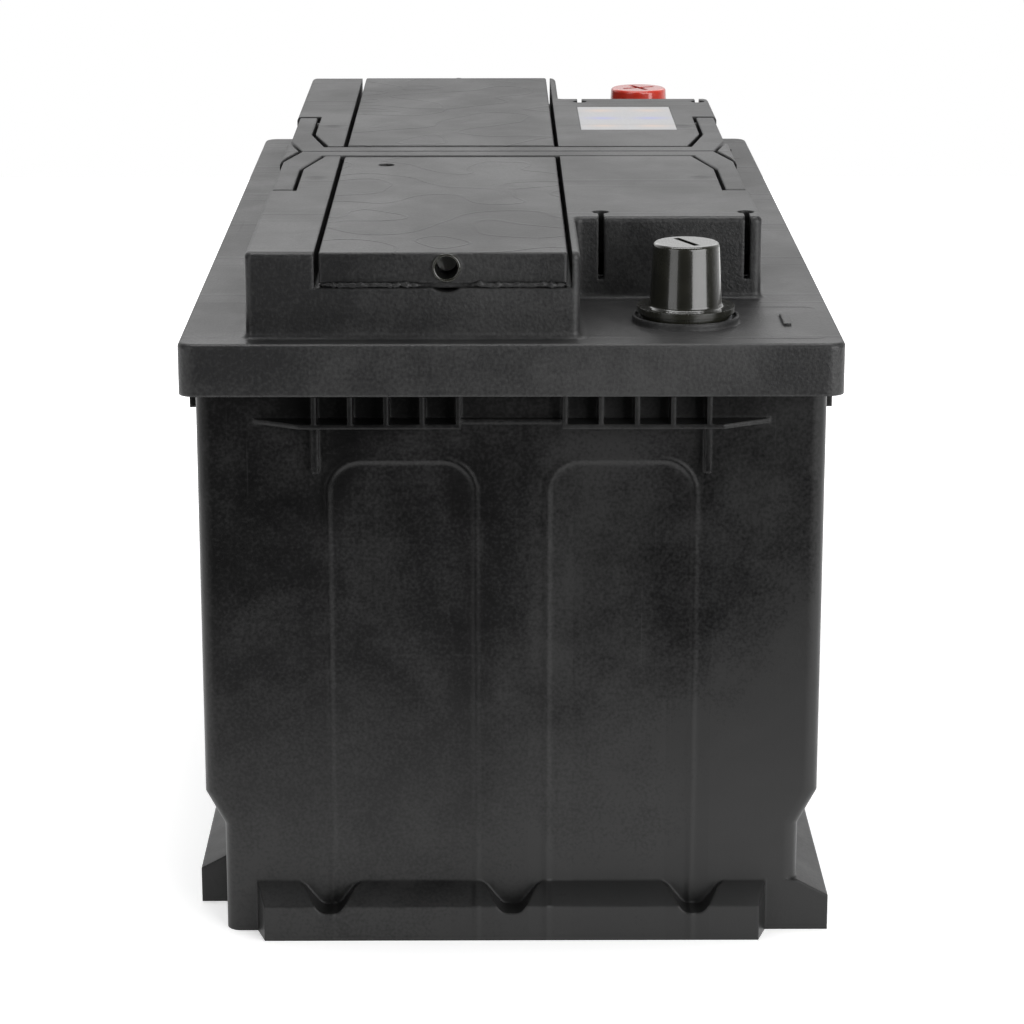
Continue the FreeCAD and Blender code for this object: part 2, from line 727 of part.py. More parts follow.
def handle_recess_outline():
    """Both handles' outlines with a gap round them, open to the sides and round an island at each side."""
    edge = f"({DECK_X} + {PAST})"
    inner = f"({ARM_INNER} - Size.handle_gap)"
    reach = "(Size.handle_reach + Size.handle_gap)"
    throat = f"({ARM_INNER} - Size.handle_throat - Size.handle_gap)"
    apex = f"({ARM_OUTER} - Size.handle_taper + Size.handle_gap)"
    island = f"((Size.handle_bend_outer - Size.handle_split) * ({edge} - {apex}) / Size.handle_taper)"
    quarter = [(edge, reach), (inner, reach), (inner, "Size.handle_bend_inner"), (throat, GROOVE_EDGE)]
    outline = []
    outline += [(f"-{x}", f"-({y})") for x, y in quarter]
    outline += [(x, f"-({y})") for x, y in reversed(quarter)]
    outline += [(edge, f"-{island}"), (apex, "0"), (edge, island)]
    outline += list(quarter)
    outline += [(f"-{x}", y) for x, y in reversed(quarter)]
    outline += [(f"-{edge}", island), (f"-{apex}", "0"), (f"-{edge}", f"-{island}")]
    return outline


def cut_handle_recess(body):
    recess = sketch(body, "handle_recess_outline", "XY_Plane", [handle_recess_outline()], f"{TOP} + {PAST}")
    pocket(body, "handle_recess", recess, f"{TOP} + {PAST} - {HANDLE_FLOOR}")


def pivot_holes():
    tools = []
    depth = "Size.pivot_length + Size.pivot_end_gap"
    for side in (-1, 1):
        low, _ = span(side, f"{ARM_INNER} - ({depth})", ARM_INNER)
        for end in (-1, 1):
            tag = f"{'right' if side > 0 else 'left'}_{'rear' if end > 0 else 'front'}"
            tools.append(part_cylinder(f"pivot_hole_{tag}", (low, f"{end} * {PIVOT_Y}", PIVOT_Z),
                                       "Size.pivot_radius + Size.pivot_clearance", depth, "X"))
    return tools


def keyholes():
    """Slots down the well walls, each ending in a round eye."""
    tools = []
    floor = f"{SHELF} + Size.slot_floor"
    for end, name in ((-1, "front"), (1, "rear")):
        for offset, side in (("-Size.slot_inner_offset", "inner"), ("Size.slot_outer_offset", "outer")):
            middle = f"({TERMINAL_X} + {offset})"
            low, high = span(end, f"{WELL_Y} - Size.slot_depth", f"{WELL_Y} + {PAST}")
            slot = part_box(f"keyhole_slot_{name}_{side}", (f"{middle} - Size.slot_width / 2", low, floor),
                            (f"{middle} + Size.slot_width / 2", high, f"{TOP} + {PAST}"))
            eye = part_cylinder(f"keyhole_eye_{name}_{side}", (middle, f"{end} * ({WELL_Y} - Size.slot_depth)", floor),
                                "Size.slot_eye_radius", f"{TOP} + {PAST} - ({floor})")
            tools.append(fuse(f"keyhole_{name}_{side}", [slot, eye]))
    return tools


def terminal_bosses():
    """A raised ring round each bushing with a skirt below it, and the raised polarity marks."""
    bosses = []
    across = f"{LID_X} - Size.polarity_inset"
    for end, name in ((-1, "negative"), (1, "positive")):
        bosses.append(part_cylinder(f"boss_{name}", terminal_base(end, SHELF_UNDER), "Size.boss_radius",
                                    f"{BOSS_TOP} - {SHELF_UNDER}"))
        bosses.append(part_cylinder(f"boss_skirt_{name}", terminal_base(end, f"{SHELF_UNDER} - Size.boss_below"),
                                    "Size.boss_below_radius", "Size.boss_below"))
        bars = [("Size.polarity_width", "Size.polarity_length")]
        if name == "positive":
            bars.append(("Size.polarity_length", "Size.polarity_width"))
        for number, (wide, long) in enumerate(bars, 1):
            bosses.append(part_box(f"polarity_bar_{name}_{number}",
                                   (f"{across} - {wide} / 2", f"{end} * {TERMINAL_Y} - {long} / 2", SHELF_UNDER),
                                   (f"{across} + {wide} / 2", f"{end} * {TERMINAL_Y} + {long} / 2",
                                    f"{SHELF} + Size.polarity_height")))
    return bosses


def bushing_seats():
    """The dished top of each boss and the stepped hole that its bushing is cast into."""
    tools = []
    for end, name in ((-1, "negative"), (1, "positive")):
        steps = [
            part_cylinder(f"boss_dish_{name}", terminal_base(end, f"{BOSS_TOP} - Size.boss_dish"),
                          "Size.boss_radius - Size.boss_rim", f"Size.boss_dish + {PAST}"),
            part_cylinder(f"collar_seat_{name}", terminal_base(end, COLLAR_BOTTOM),
                          "Size.collar_radius + Size.bushing_clearance", f"Size.collar_height + {PAST}"),
            part_cylinder(f"barrel_hole_{name}", terminal_base(end, f"{BARREL_BOTTOM} - {PAST}"),
                          "Size.barrel_radius + Size.bushing_clearance", f"Size.barrel_depth + 2 * {PAST}"),
        ]
        tools.append(fuse(f"bushing_seat_{name}", steps))
    return tools


def deck_marks():
    """The label's shallow bed and four shallow dimples beside the handles."""
    low, high = label_corners("Size.label_clearance")
    tools = [part_box("label_bed", low, (high[0], high[1], f"{TOP} + {PAST}"))]
    for side in (-1, 1):
        for end in (-1, 1):
            tag = f"{'right' if side > 0 else 'left'}_{'rear' if end > 0 else 'front'}"
            dimple = doc.addObject("Part::Sphere", f"dimple_{tag}")
            dimple.setExpression("Radius", "Size.dimple_radius")
            place(dimple, (f"{side} * ({DECK_X} - Size.dimple_inset)", f"{end} * Size.dimple_from_middle",
                           f"{TOP} + Size.dimple_radius - Size.dimple_depth"))
            tools.append(dimple)
    return tools


def label_corners(margin):
    left = f"({COVER_RIGHT} + Size.label_inset)"
    low = (f"{left} - {margin}", f"Size.label_from_middle - {margin}", f"{TOP} - Size.label_thickness")
    high = (f"{left} + Size.label_width + {margin}", f"Size.label_from_middle + Size.label_length + {margin}", TOP)
    return low, high


def make_label():
    low, high = label_corners("0")
    finish(part_box("label_sheet", low, high), "label_blank")


# ---- Vent covers ----

def make_vent_cover(end, name):
    """A flat panel with gas chambers below, a weld rib round its edge and a vent port in its end face."""
    body = new_body(f"vent_cover_{name}")
    low, high = span(end, COVER_INNER, DECK_Y)
    plate = [(COVER_LEFT, low), (COVER_RIGHT, low), (COVER_RIGHT, high), (COVER_LEFT, high)]
    drawing = sketch(body, f"cover_outline_{name}", "XY_Plane", [plate], COVER_BOTTOM)
    pad(body, f"cover_plate_{name}", drawing, "Size.cover_height")
    top = value("battery_height")
    round_edges(body, f"cover_edges_{name}", "Size.cover_edge_radius",
                lambda edge: upright(edge) or level_at(edge, top))
    wide = f"{COVER_RIGHT} - Size.chamber_wall"
    inner_low, inner_high = span(end, f"{COVER_INNER} + Size.chamber_wall", f"{DECK_Y} - Size.chamber_front_wall")
    box(body, f"gas_chamber_{name}", "Subtractive",
        (f"{COVER_LEFT} + Size.chamber_wall", inner_low, f"{COVER_BOTTOM} - {PAST}"),
        (wide, inner_high, f"{COVER_BOTTOM} + Size.chamber_height"))
    inset = "Size.weld_inset"
    outer_low, outer_high = span(end, f"{COVER_INNER} + {inset}", f"{DECK_Y} - {inset}")
    rib_inset = f"({inset} + Size.weld_width)"
    rib_low, rib_high = span(end, f"{COVER_INNER} + {rib_inset}", f"{DECK_Y} - {rib_inset}")
    loops = []
    for margin, start, stop in ((inset, outer_low, outer_high), (rib_inset, rib_low, rib_high)):
        left, right = f"{COVER_LEFT} + {margin}", f"{COVER_RIGHT} - {margin}"
        loops.append([(left, start), (right, start), (right, stop), (left, stop)])
    weld = sketch(body, f"weld_outline_{name}", "XY_Plane", loops, COVER_FLOOR)
    pad(body, f"weld_rib_{name}", weld, f"Size.weld_height + {SINK}")
    port_from = {  # each stretch of the port, measured in from the end face
        "port_rim": ("-Size.port_rim_depth", "Size.port_rim_depth + Size.cover_edge_radius", "Size.port_rim_radius"),
        "port_bore": (f"-{PAST}", f"Size.port_depth + {PAST}", "Size.port_radius"),
        "arrestor_seat": ("0", "Size.port_depth + Size.arrestor_length",
                          "Size.arrestor_radius + Size.arrestor_clearance"),
        "gas_hole": ("0", f"Size.chamber_front_wall + {PAST}", "Size.gas_hole_radius"),
    }
    for feature, (start, length, radius) in port_from.items():
        kind = "Additive" if feature == "port_rim" else "Subtractive"
        base = f"-{DECK_Y} + {start}" if end < 0 else f"{DECK_Y} - ({start}) - ({length})"
        cylinder(body, f"{feature}_{name}", kind, (PORT_X, base, PORT_Z), radius, length, "Y")
    if end < 0:
        cylinder(body, f"pin_mark_{name}", "Subtractive",
                 (f"{COVER_LEFT} + Size.pin_mark_inset", f"-({COVER_INNER} + Size.pin_mark_from_end)",
                  f"{TOP} - Size.pin_mark_depth"), "Size.pin_mark_radius", f"Size.pin_mark_depth + {PAST}")
    doc.recompute()
    finish(body, f"vent_cover_{name}")


def make_flame_arrestor(end, name):
    near_end = f"({DECK_Y} - Size.port_depth)"
    base = f"-{near_end}" if end < 0 else f"{near_end} - Size.arrestor_length"
    disc = part_cylinder(f"arrestor_disc_{name}", (PORT_X, base, PORT_Z), "Size.arrestor_radius",
                         "Size.arrestor_length", "Y")
    finish(disc, f"flame_arrestor_{name}")


# ---- Handles ----

def make_handle(end, name):
    """A flat U: a bar across the middle of the deck and an arm down each side to its hinge pin."""
    body = new_body(f"handle_{name}")
    throat = f"({ARM_INNER} - Size.handle_throat)"
    half = [(ARM_OUTER, "Size.handle_reach"), (ARM_OUTER, "Size.handle_bend_outer"),
            (f"({ARM_OUTER} - Size.handle_taper)", "Size.handle_split")]
    inner = [(ARM_INNER, "Size.handle_reach"), (ARM_INNER, "Size.handle_bend_inner"), (throat, BAR_EDGE)]
    outline = [(x, f"{end} * ({y})") for x, y in half]
    outline += [(f"-{x}", f"{end} * ({y})") for x, y in reversed(half)]
    outline += [(f"-{x}", f"{end} * ({y})") for x, y in inner]
    outline += [(x, f"{end} * ({y})") for x, y in reversed(inner)]
    drawing = sketch(body, f"handle_outline_{name}", "XY_Plane", [outline], f"{TOP} - Size.handle_thickness")
    pad(body, f"handle_plate_{name}", drawing, "Size.handle_thickness")
    top = value("battery_height")
    bottom = top - value("handle_thickness")
    heel = value("handle_reach")

    def at_heel(edge):
        return near(abs(edge.YMin), heel) and near(abs(edge.YMax), heel)

    round_edges(body, f"heel_bottom_{name}", "Size.heel_bottom_radius",
                lambda edge: at_heel(edge) and level_at(edge, bottom))
    round_edges(body, f"heel_top_{name}", "Size.heel_top_radius",
                lambda edge: at_heel(edge) and level_at(edge, top))
    round_edges(body, f"handle_edges_{name}", "Size.handle_edge_radius", lambda edge: level_at(edge, top))
    for side in (-1, 1):
        low, _ = span(side, f"{ARM_INNER} - Size.pivot_length", f"{ARM_INNER} + {SINK}")
        cylinder(body, f"hinge_pin_{name}_{'right' if side > 0 else 'left'}", "Additive",
                 (low, f"{end} * {PIVOT_Y}", PIVOT_Z), "Size.pivot_radius", f"Size.pivot_length + {SINK}", "X")
    doc.recompute()
    finish(body, f"handle_{name}")


# ---- Terminals ----

def terminal_base(end, height):
    return (TERMINAL_X, f"{end} * {TERMINAL_Y}", height)


def make_terminal(end, name):
    """A tapered lead bushing cast into the lid, and the riser burnt into its bore."""
    lower = f"(Size.{name}_post_diameter / 2)"
    upper = f"({lower} - Size.post_height / Size.post_taper / 2)"
    bushing = fuse(f"bushing_body_{name}", [
        part_cone(f"bushing_taper_{name}", terminal_base(end, COLLAR_TOP), lower, upper, "Size.post_height"),
        part_cylinder(f"bushing_collar_{name}", terminal_base(end, COLLAR_BOTTOM), "Size.collar_radius",
                      "Size.collar_height"),
        part_cylinder(f"bushing_barrel_{name}", terminal_base(end, BARREL_BOTTOM), "Size.barrel_radius",
                      f"{COLLAR_TOP} - {BARREL_BOTTOM}"),
    ])
    bore = part_cylinder(f"bushing_bore_{name}", terminal_base(end, f"{BARREL_BOTTOM} - {PAST}"),
                         "Size.riser_radius + Size.riser_clearance", f"{POST_TOP} - {BARREL_BOTTOM} + 2 * {PAST}")
    finish(cut(f"bushing_{name}", bushing, bore), f"terminal_bushing_{name}")
    riser = part_cylinder(f"riser_{name}", terminal_base(end, STRAP_TOP), "Size.riser_radius",
                          f"{POST_TOP} - {STRAP_TOP}")
    finish(riser, f"terminal_post_{name}")


def make_cap(end, name):
    """A push-on cap: a thin tapered shell with a flange, and its polarity cut through the top."""
    post = f"(Size.{name}_post_diameter / 2 + Size.cap_clearance)"
    height = f"Size.{name}_cap_height"
    lean = "(1 / Size.post_taper / 2)"
    outer = fuse(f"cap_outer_{name}", [
        part_cone(f"cap_cone_{name}", terminal_base(end, COLLAR_TOP), f"{post} + Size.cap_wall",
                  f"{post} + Size.cap_wall - {height} * {lean}", height),
        part_cylinder(f"cap_foot_{name}", terminal_base(end, COLLAR_TOP), "Size.cap_foot_radius",
                      "Size.cap_foot_height + Size.cap_flange_height / 2"),
        part_cylinder(f"cap_flange_{name}", terminal_base(end, f"{COLLAR_TOP} + Size.cap_foot_height"),
                      "Size.cap_flange_radius", "Size.cap_flange_height"),
    ])
    rounded = doc.addObject("Part::Fillet", f"cap_rounded_{name}")
    rounded.Base = outer
    doc.recompute()
    rounded.Edges = cap_edges(outer.Shape, name)
    inside = part_cone(f"cap_inside_{name}", terminal_base(end, COLLAR_TOP), post,
                       f"{post} - ({height} - Size.cap_top) * {lean}", f"{height} - Size.cap_top")
    turns = (0,) if name == "negative" else (0, 90)
    slots = [cap_slot(end, name, turn) for turn in turns]
    hollow = fuse(f"cap_cuts_{name}", [inside] + slots)
    finish(cut(f"cap_{name}", rounded, hollow), f"terminal_cap_{name}")


def cap_edges(shape, name):
    """The cap's top edge and the root of its flange, each with its radius."""
    foot = value("battery_height") - value("shelf_drop") + value("collar_stand")
    flange_top = foot + value("cap_foot_height") + value("cap_flange_height")
    chosen = []
    for number, edge in enumerate(shape.Edges, 1):
        bounds = edge.BoundBox
        if level_at(bounds, foot + value(f"{name}_cap_height")):
            chosen.append((number, value("cap_edge_radius"), value("cap_edge_radius")))
        elif level_at(bounds, flange_top) and bounds.XLength < 2 * value("cap_flange_radius") - SLACK:
            chosen.append((number, value("cap_root"), value("cap_root")))
    return chosen


def cap_slot(end, name, turn):
    """One bar of the polarity mark, turned about the cap's axis."""
    slot = doc.addObject("Part::Box", f"cap_slot_{name}_{turn}")
    angle = f"((Size.mark_turn + {turn}) * 1 deg)"
    wide, long = "Size.mark_width / 2", "Size.mark_length / 2"
    slot.setExpression("Length", "Size.mark_width")
    slot.setExpression("Width", "Size.mark_length")
    slot.setExpression("Height", f"Size.cap_top + 2 * {PAST}")
    slot.setExpression("Placement.Rotation.Angle", angle)
    slot.setExpression("Placement.Base.x", f"{TERMINAL_X} - {wide} * cos({angle}) + {long} * sin({angle})")
    slot.setExpression("Placement.Base.y", f"{end} * {TERMINAL_Y} - {wide} * sin({angle}) - {long} * cos({angle})")
    slot.setExpression("Placement.Base.z", f"{COLLAR_TOP} + Size.{name}_cap_height - Size.cap_top - {PAST}")
    return slot


# ---- Cells ----

def strap_side(cell, polarity):
    """The negative strap of cell 1 is at +X, under the negative terminal, and the sides alternate."""
    negative = 1 if cell % 2 else -1
    return negative if polarity == "negative" else -negative


def plate_middles(cell, count):
    return [f"({cell_middle(cell)} + ({number - (count - 1) / 2}) * 2 * Size.plate_pitch)" for number in range(count)]


def make_plates(cell, polarity, count):
    """One polarity's plates, each with the lug that its strap is cast on."""
    side = strap_side(cell, polarity)
    bottom = PLATE_REST
    if polarity == "positive":
        bottom = f"({PLATE_REST} + Size.separator_thickness + Size.separator_clearance)"
    plates = []
    for number, middle in enumerate(plate_middles(cell, count), 1):
        tag = f"{polarity}_{cell}_{number}"
        low_y, high_y = (f"{middle} {sign} Size.{polarity}_thickness / 2" for sign in "-+")
        half = f"Size.{polarity}_width / 2"
        grid = part_box(f"grid_{tag}", (f"-{half}", low_y, bottom), (half, high_y, PLATE_TOP))
        lug = f"{side} * Size.strap_offset"
        stem = part_box(f"lug_{tag}", (f"{lug} - Size.lug_width / 2", low_y, f"{PLATE_TOP} - {SINK}"),
                        (f"{lug} + Size.lug_width / 2", high_y, STRAP_BOTTOM))
        plates.append(fuse(f"plate_{tag}", [grid, stem]))
    finish(group(f"plates_{polarity}_{cell}", plates), f"{polarity}_plates_{cell}")


def make_separators(cell, count):
    """An open-topped envelope round each positive plate."""
    inner = "(Size.positive_thickness / 2 + Size.separator_clearance)"
    half = "Size.separator_width / 2"
    envelopes = []
    for number, middle in enumerate(plate_middles(cell, count), 1):
        skin = f"({inner} + Size.separator_thickness)"
        top = f"{PLATE_TOP} + Size.separator_rise"
        outer = part_box(f"sleeve_{cell}_{number}", (f"-{half}", f"{middle} - {skin}", PLATE_REST),
                         (half, f"{middle} + {skin}", top))
        hollow = part_box(f"sleeve_room_{cell}_{number}",
                          (f"-{half} - {PAST}", f"{middle} - {inner}", f"{PLATE_REST} + Size.separator_thickness"),
                          (f"{half} + {PAST}", f"{middle} + {inner}", f"{top} + {PAST}"))
        envelopes.append(cut(f"envelope_{cell}_{number}", outer, hollow))
    finish(group(f"envelopes_{cell}", envelopes), f"separators_{cell}")


def make_strap(cell, polarity):
    """The lead bar on the lugs, with a tombstone against the partition that it is welded through."""
    side = strap_side(cell, polarity)
    low_x = f"{side} * Size.strap_offset - Size.strap_width / 2"
    high_x = f"{side} * Size.strap_offset + Size.strap_width / 2"
    bar_low, bar_high = (f"{cell_middle(cell)} {sign} Size.strap_length / 2" for sign in "-+")
    towards = next((number for number in (cell - 1, cell) if 0 < number < CELLS and weld_side(number) == side), None)
    if towards is None:
        bar = part_box(f"strap_bar_{polarity}_{cell}", (low_x, bar_low, STRAP_BOTTOM), (high_x, bar_high, STRAP_TOP))
        finish(bar, f"{polarity}_strap_{cell}")
        return
    if towards < cell:
        bar_low = low_y = f"{cell_edge(towards)} + Size.partition_wall"
        high_y = f"{low_y} + Size.tombstone_thickness"
    else:
        bar_high = high_y = cell_edge(towards)
        low_y = f"{high_y} - Size.tombstone_thickness"
    bar = part_box(f"strap_bar_{polarity}_{cell}", (low_x, bar_low, STRAP_BOTTOM), (high_x, bar_high, STRAP_TOP))
    tombstone = part_box(f"tombstone_{polarity}_{cell}", (low_x, low_y, STRAP_BOTTOM),
                         (high_x, high_y, f"{STRAP_BOTTOM} + Size.tombstone_height"))
    finish(fuse(f"strap_{polarity}_{cell}", [bar, tombstone]), f"{polarity}_strap_{cell}")


def make_connector(partition):
    base = (f"{weld_side(partition)} * Size.strap_offset", cell_edge(partition), WELD_Z)
    weld = part_cylinder(f"weld_{partition}", base, "Size.weld_radius", "Size.partition_wall", "Y")
    finish(weld, f"intercell_connector_{partition}_{partition + 1}")


def make_cells():
    count = int(value("positive_plates"))
    for cell in range(1, CELLS + 1):
        make_plates(cell, "positive", count)
        make_plates(cell, "negative", count + 1)
        make_separators(cell, count)
        make_strap(cell, "positive")
        make_strap(cell, "negative")
    for partition in range(1, CELLS):
        make_connector(partition)


def check_and_export():
    doc.recompute()
    for item in doc.Objects:
        if "Invalid" in item.State or "Error" in item.State:
            raise RuntimeError(f"{item.Name} failed: {item.State}")
    for part in parts:
        if part.Shape.isNull() or not part.Shape.isValid():
            raise RuntimeError(f"{part.Label} has no valid shape")
    os.makedirs("parts", exist_ok=True)
    for part in parts:
        part.Shape.exportStep(f"parts/{part.Label}.step")
        bounds = part.Shape.BoundBox
        print(f"{part.Label}: {len(part.Shape.Solids)} solids, {bounds.XLength:.1f} x {bounds.YLength:.1f} x "
              f"{bounds.ZLength:.1f} mm, top at {bounds.ZMax:.2f}")


fill_sheet()
make_container()
make_lid()
make_label()
for END, NAME in ((-1, "front"), (1, "rear")):
    make_vent_cover(END, NAME)
    make_flame_arrestor(END, NAME)
    make_handle(END, NAME)
for END, NAME in ((-1, "negative"), (1, "positive")):
    make_terminal(END, NAME)
    make_cap(END, NAME)
make_cells()
check_and_export()
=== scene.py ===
import json
import math

import bmesh
import bpy
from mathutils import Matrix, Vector, noise


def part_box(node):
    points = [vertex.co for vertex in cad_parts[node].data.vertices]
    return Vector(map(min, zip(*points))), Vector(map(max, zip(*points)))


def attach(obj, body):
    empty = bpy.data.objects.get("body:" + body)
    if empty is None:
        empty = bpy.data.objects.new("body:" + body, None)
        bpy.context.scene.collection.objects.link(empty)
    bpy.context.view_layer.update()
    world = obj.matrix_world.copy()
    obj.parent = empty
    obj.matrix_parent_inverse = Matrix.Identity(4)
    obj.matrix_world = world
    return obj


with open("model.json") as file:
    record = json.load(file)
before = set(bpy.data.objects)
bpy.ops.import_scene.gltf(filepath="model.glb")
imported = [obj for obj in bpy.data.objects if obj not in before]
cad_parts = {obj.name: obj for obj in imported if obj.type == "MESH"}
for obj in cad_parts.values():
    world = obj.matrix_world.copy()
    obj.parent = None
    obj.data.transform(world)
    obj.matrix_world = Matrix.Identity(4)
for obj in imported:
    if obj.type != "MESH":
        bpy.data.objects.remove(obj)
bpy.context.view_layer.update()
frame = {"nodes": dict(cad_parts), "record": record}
MM = 0.001


# ---- Node helpers ----

def add(tree, kind, inputs=None, **settings):
    """A new node. Inputs are values or sockets to link from."""
    node = tree.nodes.new(kind)
    for name, setting in settings.items():
        setattr(node, name, setting)
    for key, given in (inputs or {}).items():
        if isinstance(given, bpy.types.NodeSocket):
            tree.links.new(given, node.inputs[key])
        else:
            node.inputs[key].default_value = given
    return node


def maths(tree, operation, *values):
    node = add(tree, "ShaderNodeMath", dict(enumerate(values)), operation=operation)
    return node.outputs[0]


def plus(tree, first, second):
    return maths(tree, "ADD", first, second)


def minus(tree, first, second):
    return maths(tree, "SUBTRACT", first, second)


def times(tree, first, second):
    return maths(tree, "MULTIPLY", first, second)


def place(tree, stretch=(1, 1, 1), shift=(0, 0, 0)):
    """Object coordinates in metres, stretched and shifted."""
    coords = add(tree, "ShaderNodeTexCoord").outputs["Object"]
    return add(tree, "ShaderNodeMapping", {"Vector": coords, "Scale": stretch, "Location": shift}).outputs[0]


def cloud(tree, scale, detail=3.0, stretch=(1, 1, 1), shift=(0, 0, 0), distortion=0.0):
    """Noise from 0 to 1, at so many features a metre."""
    at = place(tree, stretch, shift)
    inputs = {"Vector": at, "Scale": scale, "Detail": detail, "Distortion": distortion}
    return add(tree, "ShaderNodeTexNoise", inputs).outputs["Fac"]


def remap(tree, source, low, high, to_low, to_high):
    inputs = {"Value": source, "From Min": low, "From Max": high, "To Min": to_low, "To Max": to_high}
    return add(tree, "ShaderNodeMapRange", inputs).outputs[0]


def mix_colour(tree, amount, first, second):
    node = add(tree, "ShaderNodeMix", {0: amount}, data_type="RGBA")
    for index, given in ((6, first), (7, second)):
        if isinstance(given, bpy.types.NodeSocket):
            tree.links.new(given, node.inputs[index])
        else:
            node.inputs[index].default_value = (*given, 1)
    return node.outputs[2]


def bump(tree, height, distance, strength=1.0, normal=None):
    inputs = {"Height": height, "Distance": distance, "Strength": strength}
    if normal is not None:
        inputs["Normal"] = normal
    return add(tree, "ShaderNodeBump", inputs).outputs[0]


def soft_edges(tree, radius):
    """Shading normals that round the sharp edges a little."""
    return add(tree, "ShaderNodeBevel", {"Radius": radius}, samples=6).outputs[0]


def axis_of(tree, axis):
    coords = add(tree, "ShaderNodeTexCoord").outputs["Object"]
    return add(tree, "ShaderNodeSeparateXYZ", {0: coords}).outputs[axis]


def hump(tree, distance, width):
    """1 where distance is 0, falling off smoothly over width."""
    ratio = maths(tree, "DIVIDE", distance, width)
    return maths(tree, "EXPONENT", times(tree, times(tree, ratio, ratio), -1.0))


def new_material(name):
    material = bpy.data.materials.new(name)
    material.use_nodes = True
    tree = material.node_tree
    tree.nodes.clear()
    shader = add(tree, "ShaderNodeBsdfPrincipled")
    add(tree, "ShaderNodeOutputMaterial", {"Surface": shader.outputs[0]})
    return material, tree, shader


def wire(tree, shader, **sources):
    names = {"colour": "Base Color", "roughness": "Roughness", "normal": "Normal", "metallic": "Metallic"}
    for key, source in sources.items():
        tree.links.new(source, shader.inputs[names[key]])


# ---- Materials ----

# Partition lines, as shares of the pitch between the cells.
LINE_WOBBLE = 0.03
LINE_SOFTNESS = 0.022
SECOND_LINE_SHIFT = 0.19
SECOND_LINE_SOFTNESS = 0.012
SECOND_LINE_STRENGTH = 0.5

# Black plastic: noise features a metre, and how the noises are mixed.
BLOTCH_SCALE = 11
HAZE_SCALE = 60
SPECK_SCALE = 1100
GRAIN_SCALE = 1300
BLOTCH_SHARE = 0.65
SPECK_SHADE = 2.0
SPECK_ROUGHNESS = 0.12
STREAK_SHADE = 0.25
STREAK_ROUGHNESS = 0.12
PLASTIC_IOR = 1.49

# How far the shading rounds the sharp edges.
MOULDED_EDGE = 1.1 * MM
FINE_EDGE = 0.3 * MM

# Flow lines on the covers lie on the top face only, and fade out below it.
FLOW_FADE_START = 0.2 * MM
FLOW_FADE_END = 0.6 * MM
FLOW_LINE_WIDTH = 0.06
FLOW_LINE_HEIGHT = 0.20 * MM

# The arches on the end walls.
ARCH_MIDDLE = 29.3 * MM
ARCH_HALF_WIDTH = 19.7 * MM
ARCH_TOP = 134 * MM
ARCH_RADIUS = 9 * MM
ARCH_LINE_WIDTH = 1.0 * MM
ARCH_LINE_HEIGHT = 0.32 * MM
ARCH_STEP_HEIGHT = 0.8 * MM

LEAD_GRID_PITCH = 7 * MM
LABEL_COLUMNS = 2
LABEL_ROWS = 3


def cell_pitch():
    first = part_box("separators_1")
    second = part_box("separators_2")
    return second[0].y - first[0].y


def repeated_line(tree, along, softness):
    """1 wherever along is a whole number, falling off softly on both sides."""
    off_line = minus(tree, along, maths(tree, "ROUND", along))
    return hump(tree, off_line, softness)


def partition_lines(tree):
    """Faint lines over the cell partitions below the lid, each with a fainter one beside it, 0 to 1."""
    along = maths(tree, "DIVIDE", axis_of(tree, 1), cell_pitch())
    wobble = times(tree, minus(tree, cloud(tree, 40, 2), 0.5), LINE_WOBBLE)
    along = plus(tree, along, wobble)
    beside = plus(tree, along, SECOND_LINE_SHIFT)
    fainter = times(tree, repeated_line(tree, beside, SECOND_LINE_SOFTNESS), SECOND_LINE_STRENGTH)
    return maths(tree, "MAXIMUM", repeated_line(tree, along, LINE_SOFTNESS), fainter)


def scratches(tree):
    """Thin rubbed streaks in two directions, 0 to 1."""
    one = cloud(tree, 1, 2, stretch=(900, 26, 9), distortion=0.4)
    two = cloud(tree, 1, 2, stretch=(22, 800, 60), shift=(3, 1, 2), distortion=0.4)
    strongest = maths(tree, "MAXIMUM", one, two)
    patches = remap(tree, cloud(tree, 14, 2, shift=(5, 2, 0)), 0.5, 0.68, 0.0, 1.0)
    return times(tree, remap(tree, strongest, 0.70, 0.82, 0.0, 1.0), patches)


